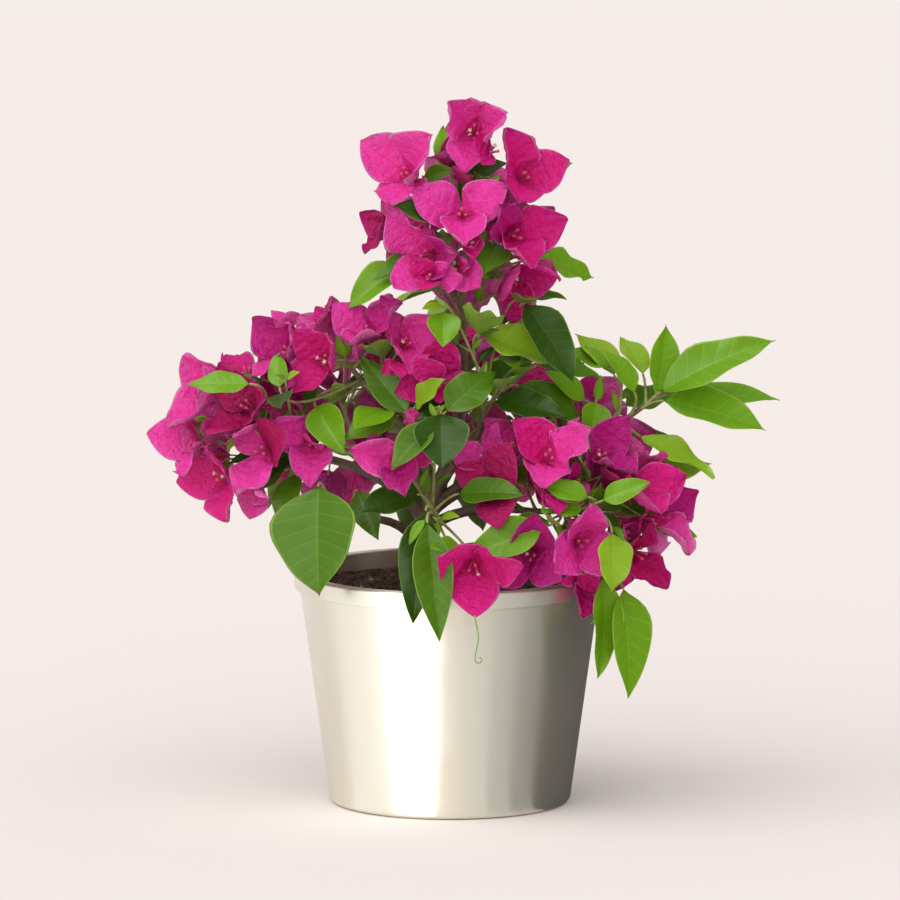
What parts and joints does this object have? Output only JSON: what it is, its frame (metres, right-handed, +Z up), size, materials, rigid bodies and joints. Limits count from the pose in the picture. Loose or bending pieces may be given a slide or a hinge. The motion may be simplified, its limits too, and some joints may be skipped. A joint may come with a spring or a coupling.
{
  "type": "potted bougainvillea bush",
  "caption": "Small bougainvillea bush in a round tapered pot, with magenta blooms in clusters, pointed leaves, a leaning trunk and hanging side shoots.",
  "frame": {"origin": "middle of the pot's flat underside", "axes": "+Z up along the pot's axis, -Y towards the side the bush is looked at from, +X to that side's right"},
  "size_m": [0.4273, 0.309, 0.4802],
  "materials": {
    "pot": "satin, pearly champagne",
    "soil": "rough, crumbly",
    "bark": "rough bark",
    "blossom": "papery, thin",
    "leaves": "semi-gloss leaf"
  },
  "bodies": {
    "root": {"pot": "pot", "soil": "soil", "trunk": "bark", "bough_top": "bark", "bough_shoulder": "bark", "bough_left": "bark", "bough_apron": "bark", "bough_front": "bark", "bough_middle": "bark", "bough_right": "bark", "bough_hang": "bark", "bough_shoot": "bark", "bough_back_left": "bark", "bough_back_right": "bark", "bough_back": "bark", "foliage_top": "blossom", "foliage_shoulder": "blossom", "foliage_left": "blossom", "foliage_apron": "leaves", "foliage_front": "leaves", "foliage_middle": "leaves", "foliage_right": "blossom", "foliage_hang": "leaves", "foliage_shoot": "leaves", "foliage_back_left": "blossom", "foliage_back_right": "blossom", "foliage_back": "blossom"}
  },
  "joints": []
}
